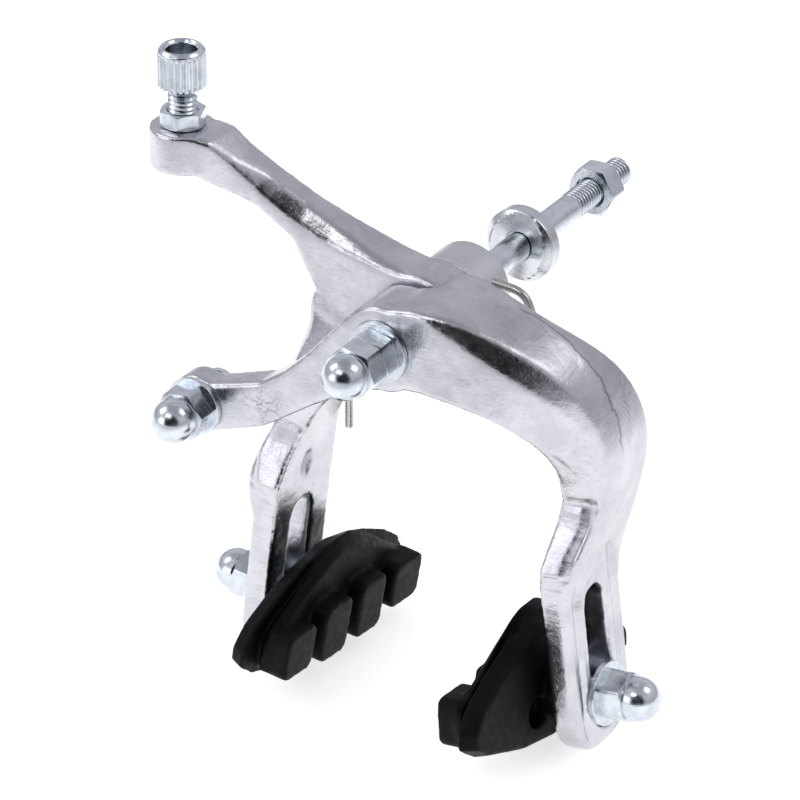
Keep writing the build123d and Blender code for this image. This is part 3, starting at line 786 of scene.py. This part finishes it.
def with_thread(piece, line, start, length, finish, outer=THREAD_R):
    """Join a thread ridge to a piece whose core is already thin enough there."""
    ridge_mesh = thread_mesh(length, finish, outer)
    place = Matrix.Translation((line.point + start * line.along) * MM) @ line.turn.to_4x4()
    ridge_mesh.transform(place)
    work = bmesh.new()
    work.from_mesh(piece.data)
    work.from_mesh(ridge_mesh)
    work.to_mesh(piece.data)
    work.free()
    print(piece.name, "thread of", round(length / PITCH, 1), "turns")
    return piece


# %% [markdown]
# ## The mounting bolt and what is strung on it
#
# From the front: a domed nut, a jam nut and a washer hold the arms; a thin washer parts them and
# another lies behind them; then come the block with the spring, the hollow washer, and the nut
# that clamps the fork. Only the rear end of the bolt shows its thread, so only that end has one.

# %% The bolt
THREAD_FROM = 37.2
bolt_low, bolt_high = BOLT_BACK.span("pivot_bolt")
bolt_outline = [
    (0.001, bolt_low),
    (THREAD_R - 0.03, bolt_low),
    (THREAD_R - 0.03, THREAD_FROM - 0.5),
    (CORE_R, THREAD_FROM + 0.3),
    (CORE_R, bolt_high - 0.7),
    (CORE_R - 0.5, bolt_high),
    (0.001, bolt_high),
]
bolt = turned("mounting_bolt", BOLT_BACK, 0.0, bolt_outline, 0.25)
with_thread(bolt, BOLT_BACK, THREAD_FROM, bolt_high - 0.9 - THREAD_FROM, ZINC)
hand_over(bolt, ZINC, "zinc_steel", "root", "pivot_bolt")

# %% Front stack
washer = flat_ring("front_washer", BOLT_BACK, "pivot_front_washer", 6.5, THREAD_R)
hand_over(washer, ZINC, "zinc_steel", "root", "pivot_front_washer")
jam_start, jam_end = BOLT_FRONT.span("pivot_jam_nut")
jam = open_nut("jam_nut", BOLT_FRONT, jam_start, 10.0, jam_end - jam_start, THREAD_R)
hand_over(jam, ZINC, "zinc_steel", "root", "pivot_jam_nut")
front_dome = domed_nut("pivot_domed_nut", BOLT_FRONT, BOLT_FRONT.span("pivot_cap_nut")[0])
hand_over(front_dome, ZINC, "zinc_steel", "root", "pivot_cap_nut")
for node in ("arm_spacer_washer", "rear_arm_washer"):
    ring = flat_ring(node + "_ring", BOLT_BACK, node, 8.0, THREAD_R)
    hand_over(ring, ZINC, "zinc_steel", "root", node)

# %% [markdown]
# The block is a plain turned cylinder with a broad chamfer at the fork end and a small one in
# front. It is the only matt metal on the brake.

# %% Spring block
BLOCK_R = 9.0
block_low, block_high = BOLT_BACK.span("spring_block")
block_outline = [
    (THREAD_R, block_low),
    (BLOCK_R - 1.0, block_low),
    (BLOCK_R, block_low + 0.9),
    (BLOCK_R, block_high - 2.4),
    (BLOCK_R - 2.4, block_high),
    (THREAD_R, block_high),
    (THREAD_R, block_low),
]
block = turned("turned_spring_block", BOLT_BACK, 0.0, block_outline, 0.12, 128)
hand_over(block, BLOCK_METAL, "machined_block", "root", "spring_block")

# %% [markdown]
# The washer that beds on the back of a round fork crown is hollowed like a saddle. Its front
# rings follow two heights at once, the bevel at the rim and the hollow, and take the higher.


# %% Saddle washer
SADDLE_R = 13.0
SADDLE_DEPTH = 1.4
SADDLE_BORE = 3.2
WASHER_OUT = 8.0
BEVEL = 1.6


def saddle_front(r):
    """A ring on the washer's hollow front face."""

    def ring(angle):
        across = r * math.cos(angle - 0.25)
        hollow = SADDLE_DEPTH - (SADDLE_R - math.sqrt(SADDLE_R ** 2 - across ** 2))
        return r, max(hollow, r - (WASHER_OUT - BEVEL), 0.0)

    return ring


saddle_low, saddle_high = BOLT_BACK.span("saddle_washer")
length = saddle_high - saddle_low
front_radii = (SADDLE_BORE, 3.8, 4.4, 5.0, 5.6, 6.0, 6.35, 6.45, 6.8, 7.2, 7.6, 7.92)
rings = [saddle_front(r) for r in front_radii]
rings += fixed_rings([(WASHER_OUT, BEVEL + 0.15), (WASHER_OUT, length - 0.8)])
rings += fixed_rings([(WASHER_OUT - 0.8, length), (SADDLE_BORE, length)])
rings.append(saddle_front(SADDLE_BORE))
points, faces = spin(rings, 144)
saddle = make_object("saddle_washer_turned", BOLT_BACK.place(points, saddle_low), faces, 12)
hand_over(saddle, WASHER_METAL, "zinc_steel", "saddle_washer", "saddle_washer")

# %% Mounting nut
nut_low, nut_high = BOLT_BACK.span("mounting_nut")
clamp_nut = open_nut("fork_nut", BOLT_BACK, nut_low, 10.0, nut_high - nut_low, THREAD_R + 0.05)
hand_over(clamp_nut, ZINC, "zinc_steel", "mounting_nut", "mounting_nut")

# %% [markdown]
# ## The cable hardware
#
# The barrel adjuster is a hollow screw with a fluted head. Its flutes are a row of small ribs,
# so a second node tree sets them out on a circle: the count, the radius and the rib's size are
# its inputs.


# %% The rib tree
def rib_tree():
    """Geometry nodes for upright ribs set out on a circle; lengths in metres."""
    tree = bpy.data.node_groups.new("rib_circle", "GeometryNodeTree")
    tree.interface.new_socket(name="Geometry", in_out="OUTPUT", socket_type="NodeSocketGeometry")
    keys = {
        "count": add_input(tree, "Count", "NodeSocketInt", 24),
        "circle": add_input(tree, "Circle radius", "NodeSocketFloat", 0.0046),
        "rib": add_input(tree, "Rib radius", "NodeSocketFloat", 0.0004),
        "length": add_input(tree, "Rib length", "NodeSocketFloat", 0.006),
        "finish": add_input(tree, "Finish", "NodeSocketMaterial"),
    }
    nodes, link = tree.nodes, tree.links.new
    given = nodes.new("NodeGroupInput")
    circle = nodes.new("GeometryNodeCurvePrimitiveCircle")
    spots = nodes.new("GeometryNodeCurveToPoints")
    rib = nodes.new("GeometryNodeMeshCylinder")
    rib.inputs["Vertices"].default_value = 12
    put = nodes.new("GeometryNodeInstanceOnPoints")
    realize = nodes.new("GeometryNodeRealizeInstances")
    paint = nodes.new("GeometryNodeSetMaterial")
    result = nodes.new("NodeGroupOutput")
    link(given.outputs["Circle radius"], circle.inputs["Radius"])
    link(circle.outputs["Curve"], spots.inputs["Curve"])
    link(given.outputs["Count"], spots.inputs["Count"])
    link(given.outputs["Rib radius"], rib.inputs["Radius"])
    link(given.outputs["Rib length"], rib.inputs["Depth"])
    link(spots.outputs["Points"], put.inputs["Points"])
    link(rib.outputs["Mesh"], put.inputs["Instance"])
    link(put.outputs["Instances"], realize.inputs["Geometry"])
    link(realize.outputs["Geometry"], paint.inputs["Geometry"])
    link(given.outputs["Finish"], paint.inputs["Material"])
    link(paint.outputs["Geometry"], result.inputs["Geometry"])
    return tree, keys


RIB_TREE, RIB_KEYS = rib_tree()

# %% Barrel adjuster
HEAD_R = 4.95
HEAD_LOW = 39.5
RIB_R = 0.42
RIB_COUNT = 24
WIRE_HOLE_R = 1.1
SOCKET_R = 3.1
SOCKET_DEPTH = 6.0
adjuster_low, adjuster_top = ADJUSTER.span("barrel_adjuster")
drum = HEAD_R - 0.34
adjuster_outline = [
    (WIRE_HOLE_R, adjuster_low),
    (CORE_R, adjuster_low),
    (CORE_R, HEAD_LOW - 1.0),
    (THREAD_R - 0.1, HEAD_LOW - 0.6),
    (THREAD_R + 0.2, HEAD_LOW),
    (drum - 0.3, HEAD_LOW + 0.9),
    (drum, HEAD_LOW + 1.6),
    (drum, adjuster_top - 1.7),
    (HEAD_R - 0.15, adjuster_top - 1.3),
    (HEAD_R - 0.15, adjuster_top - 0.7),
    (HEAD_R - 0.8, adjuster_top),
    (SOCKET_R + 0.6, adjuster_top),
    (SOCKET_R, adjuster_top - 0.7),
    (SOCKET_R, adjuster_top - SOCKET_DEPTH),
    (WIRE_HOLE_R, adjuster_top - SOCKET_DEPTH),
    (WIRE_HOLE_R, adjuster_low),
]
adjuster = turned("barrel_adjuster_screw", ADJUSTER, 0.0, adjuster_outline, 0.2)
with_thread(adjuster, ADJUSTER, adjuster_low + 0.3, HEAD_LOW - 1.6 - adjuster_low, ZINC)
rib_length = adjuster_top - 1.2 - (HEAD_LOW + 0.9)
ribs = grown_mesh(
    RIB_TREE,
    {
        RIB_KEYS["count"]: RIB_COUNT,
        RIB_KEYS["circle"]: (drum - 0.08) * MM,
        RIB_KEYS["rib"]: RIB_R * MM,
        RIB_KEYS["length"]: rib_length * MM,
        RIB_KEYS["finish"]: ZINC,
    },
    "ribs",
)
centre = ADJUSTER.point + Vector((0, 0, HEAD_LOW + 0.9 + rib_length / 2))
ribs.transform(Matrix.Translation(centre * MM))
work = bmesh.new()
work.from_mesh(adjuster.data)
work.from_mesh(ribs)
work.to_mesh(adjuster.data)
work.free()
adjuster.data.shade_smooth()
adjuster.data.set_sharp_from_angle(angle=math.radians(30))
hand_over(adjuster, ZINC, "zinc_steel", "barrel_adjuster", "barrel_adjuster")

# %% Lock nut
lock_low, lock_high = ADJUSTER.span("adjuster_lock_nut")
lock = open_nut("lock_nut", ADJUSTER, lock_low, 8.6, lock_high - lock_low, THREAD_R + 0.05)
hand_over(lock, ZINC, "zinc_steel", "adjuster_lock_nut", "adjuster_lock_nut")

# %% [markdown]
# The cable anchor is a bolt through the end of the lower lever. Its round head behind the lever
# has a cross hole for the wire. A lathe outline can't have a hole across it, so this bolt is a
# softened copy of the CAD node, which has the hole already.

# %% Cable anchor
anchor = skin_of("anchor_bolt", "anchor_bolt_turned", cell=0.14, relax=3)
hand_over(anchor, ZINC, "zinc_steel", "cable_anchor", "anchor_bolt")
ring = flat_ring("anchor_washer_ring", ANCHOR, "anchor_washer", 6.2, THREAD_R)
hand_over(ring, ZINC, "zinc_steel", "cable_anchor", "anchor_washer")
anchor_dome = domed_nut("anchor_domed_nut", ANCHOR, ANCHOR.span("anchor_cap_nut")[0])
hand_over(anchor_dome, ZINC, "zinc_steel", "cable_anchor", "anchor_cap_nut")

# %% [markdown]
# ## The return spring
#
# One wire runs through the block, bends down on both sides and ends beside the limbs, which
# its legs push apart. As the brake closes each leg bends with its arm while the middle stays in
# the block. The wire is made in two halves, one beside each arm, and neither is hung on a body.

# %% Spring wire
WIRE_R = 0.9
SPRING_Y = -6.8
BEND_X = 17.2
LEG_X = 26.5
leg_path = [(0, 4.0), (9.0, 4.0), (15.0, 3.6), (BEND_X, -1.5), (18.2, -7.0), (22.6, -15.5)]
leg_path += [(LEG_X, -24.0), (LEG_X, -31.0), (LEG_X, -38.8)]
for side, arm in ((1, "front_arm"), (-1, "rear_arm")):
    curve = bpy.data.curves.new("spring_half", "CURVE")
    curve.dimensions = "3D"
    spline = curve.splines.new("NURBS")
    spline.points.add(len(leg_path) - 1)
    for point, (x, z) in zip(spline.points, leg_path):
        point.co = (side * x * MM, SPRING_Y * MM, z * MM, 1.0)
    spline.order_u = 3
    spline.use_endpoint_u = True
    spline.resolution_u = 10
    curve.bevel_depth = WIRE_R * MM
    curve.bevel_resolution = 5
    curve.use_fill_caps = True
    holder = bpy.data.objects.new("spring_holder", curve)
    bpy.context.scene.collection.objects.link(holder)
    depsgraph = bpy.context.evaluated_depsgraph_get()
    mesh = bpy.data.meshes.new_from_object(holder.evaluated_get(depsgraph))
    bpy.data.objects.remove(holder)
    mesh.shade_smooth()
    mesh.set_sharp_from_angle(angle=math.radians(50))
    half = bpy.data.objects.new("spring_half_" + arm, mesh)
    bpy.context.scene.collection.objects.link(half)
    hand_over(half, WIRE, "dark_steel", None, "return_spring")
    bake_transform(half)
print("pieces", made_pieces)

# %% [markdown]
# ## Studio
#
# Bright metal shows the room more than itself. The room here is a white table below, a softly
# lit grey ceiling, three soft boxes, a dark gap in front and a pale sheet beside it. The floor
# is a pale table that glows by itself. Its glow is strongest in a pool round the brake and weaker
# in front of it and beyond it, and those greyer parts are what give the metal its darker bands.

# %% Floor
HALF_FLOOR = 3.0
low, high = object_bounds()
floor_mesh = bpy.data.meshes.new("floor")
floor_z = low.z - 0.0012
corners = [(x * HALF_FLOOR, y * HALF_FLOOR, floor_z) for x, y in ((-1, -1), (1, -1), (1, 1), (-1, 1))]
floor_mesh.from_pydata(corners, [], [(0, 1, 2, 3)])
floor = bpy.data.objects.new("floor", floor_mesh)
bpy.context.scene.collection.objects.link(floor)
paint = Nodes("white_table")
fibres = paint.noise(900, 3.0)
white = paint.mix(fibres, (0.90, 0.90, 0.90), (0.94, 0.94, 0.94))
split = paint.add("ShaderNodeSeparateXYZ", Vector=paint.place)
off_x = paint.math("ABSOLUTE", paint.math("ADD", split.outputs["X"], 0.05))
off_y = paint.math("ABSOLUTE", paint.math("SUBTRACT", split.outputs["Y"], 0.15))
square = paint.math("ADD", paint.math("POWER", off_x, 2.0), paint.math("POWER", off_y, 2.0))
pool = paint.between(paint.math("SQRT", square), 0.45, 1.60, 1.0, 0.45, True)
near = paint.between(split.outputs["Y"], -0.27, -0.10, 0.22, 1.0, True)
slant_x = paint.math("MULTIPLY", split.outputs["X"], 0.8)
slant = paint.math("ADD", slant_x, paint.math("MULTIPLY", split.outputs["Y"], 0.6))
beyond = paint.between(slant, 0.12, 0.32, 1.0, 0.22, True)
glow = paint.math("MULTIPLY", paint.math("MULTIPLY", pool, near), beyond)
glow = paint.mix(glow, (0.0, 0.0, 0.0), (1.0, 1.0, 1.0))
floor_mesh.materials.append(
    paint.finish(Base_Color=white, Roughness=0.9, Emission_Color=glow, Emission_Strength=0.66)
)

# %% Room light
world = bpy.data.worlds.new("room")
bpy.context.scene.world = world
world.use_nodes = True
tree = world.node_tree
background = tree.nodes["Background"]
where = tree.nodes.new("ShaderNodeTexCoord").outputs["Generated"]


def world_math(operation, a, b=0.0):
    node = tree.nodes.new("ShaderNodeMath")
    node.operation = operation
    for index, value in enumerate((a, b)):
        if isinstance(value, bpy.types.NodeSocket):
            tree.links.new(value, node.inputs[index])
        else:
            node.inputs[index].default_value = value
    return node.outputs[0]


def world_ramp(value, stops):
    ramp = tree.nodes.new("ShaderNodeValToRGB")
    ramp.color_ramp.interpolation = "EASE"
    while len(ramp.color_ramp.elements) < len(stops):
        ramp.color_ramp.elements.new(0.5)
    for element, (position, grey) in zip(ramp.color_ramp.elements, stops):
        element.position = position
        element.color = (grey, grey, grey * 1.03, 1.0)
    tree.links.new(value, ramp.inputs["Fac"])
    return ramp.outputs["Color"]


def facing(direction):
    """How nearly a direction in the room is the one given, from -1 to 1."""
    dot = tree.nodes.new("ShaderNodeVectorMath")
    dot.operation = "DOT_PRODUCT"
    tree.links.new(where, dot.inputs[0])
    dot.inputs[1].default_value = Vector(direction).normalized()
    return dot.outputs["Value"]


height = world_math("MULTIPLY_ADD", facing((0, 0, 1)), 0.5)
tree.nodes[-1].inputs[2].default_value = 0.5
room = world_ramp(height, [(0.0, 0.50), (0.50, 0.42), (0.58, 0.50), (0.75, 0.62), (1.0, 0.40)])
DARK_GAP = (0.34, -0.90, 0.26)
PALE_SHEET = (-0.50, -0.85, 0.06)
gap = world_ramp(facing(DARK_GAP), [(0.72, 1.0), (0.88, 0.04), (1.0, 0.02)])
sheet = world_ramp(facing(PALE_SHEET), [(0.90, 0.25), (0.96, 0.95), (1.0, 1.0)])


def world_product(first, second):
    mixer = tree.nodes.new("ShaderNodeMix")
    mixer.data_type = "RGBA"
    mixer.blend_type = "MULTIPLY"
    mixer.inputs["Factor"].default_value = 1.0
    tree.links.new(first, mixer.inputs[6])
    tree.links.new(second, mixer.inputs[7])
    return mixer.outputs[2]


tree.links.new(world_product(world_product(room, gap), sheet), background.inputs["Color"])
background.inputs["Strength"].default_value = 4.0


# %% Soft boxes
def soft_box(name, place, size, watts, aim=(0, -0.01, -0.03)):
    light = bpy.data.lights.new(name, "AREA")
    light.shape = "RECTANGLE"
    light.size, light.size_y = size
    light.energy = watts
    box = bpy.data.objects.new(name, light)
    box.location = place
    box.rotation_mode = "QUATERNION"
    box.rotation_quaternion = (Vector(aim) - Vector(place)).to_track_quat("-Z", "Y")
    bpy.context.scene.collection.objects.link(box)
    return box


soft_box("left_soft_box", (-0.85, -0.35, 0.85), (0.5, 0.6), 2.0)
soft_box("right_soft_box", (0.74, 0.35, 0.97), (0.6, 0.6), 1.5)
soft_box("front_soft_box", (-0.12, -0.85, 0.85), (0.5, 0.3), 1.3)

# %% [markdown]
# The camera stands in front, above and to the right, far away with a long lens, so the brake
# shows little perspective. Its turn is built from three directions: right, up and backwards.

# %% Camera
AZIMUTH = math.radians(31.88)
ELEVATION = math.radians(28.74)
DISTANCE = 0.91758
level = Vector((-math.sin(AZIMUTH), math.cos(AZIMUTH), 0))
look = level * math.cos(ELEVATION) - Vector((0, 0, math.sin(ELEVATION)))
camera_data = bpy.data.cameras.new("camera")
camera_data.lens = 223.8
camera_data.sensor_width = 36.0
camera_data.clip_start = 0.05
camera_data.clip_end = 20.0
camera = bpy.data.objects.new("camera", camera_data)
target = Vector((0.03198, -0.081, 0.01878))
camera.location = target - look * DISTANCE
right = Vector((math.cos(AZIMUTH), math.sin(AZIMUTH), 0))
upward = right.cross(look)
camera.rotation_mode = "QUATERNION"
camera.rotation_quaternion = Matrix((right, upward, -look)).transposed().to_quaternion()
bpy.context.scene.collection.objects.link(camera)
bpy.context.scene.camera = camera
bpy.context.scene.view_settings.view_transform = "Standard"
print("camera at", tuple(round(c, 4) for c in camera.location))
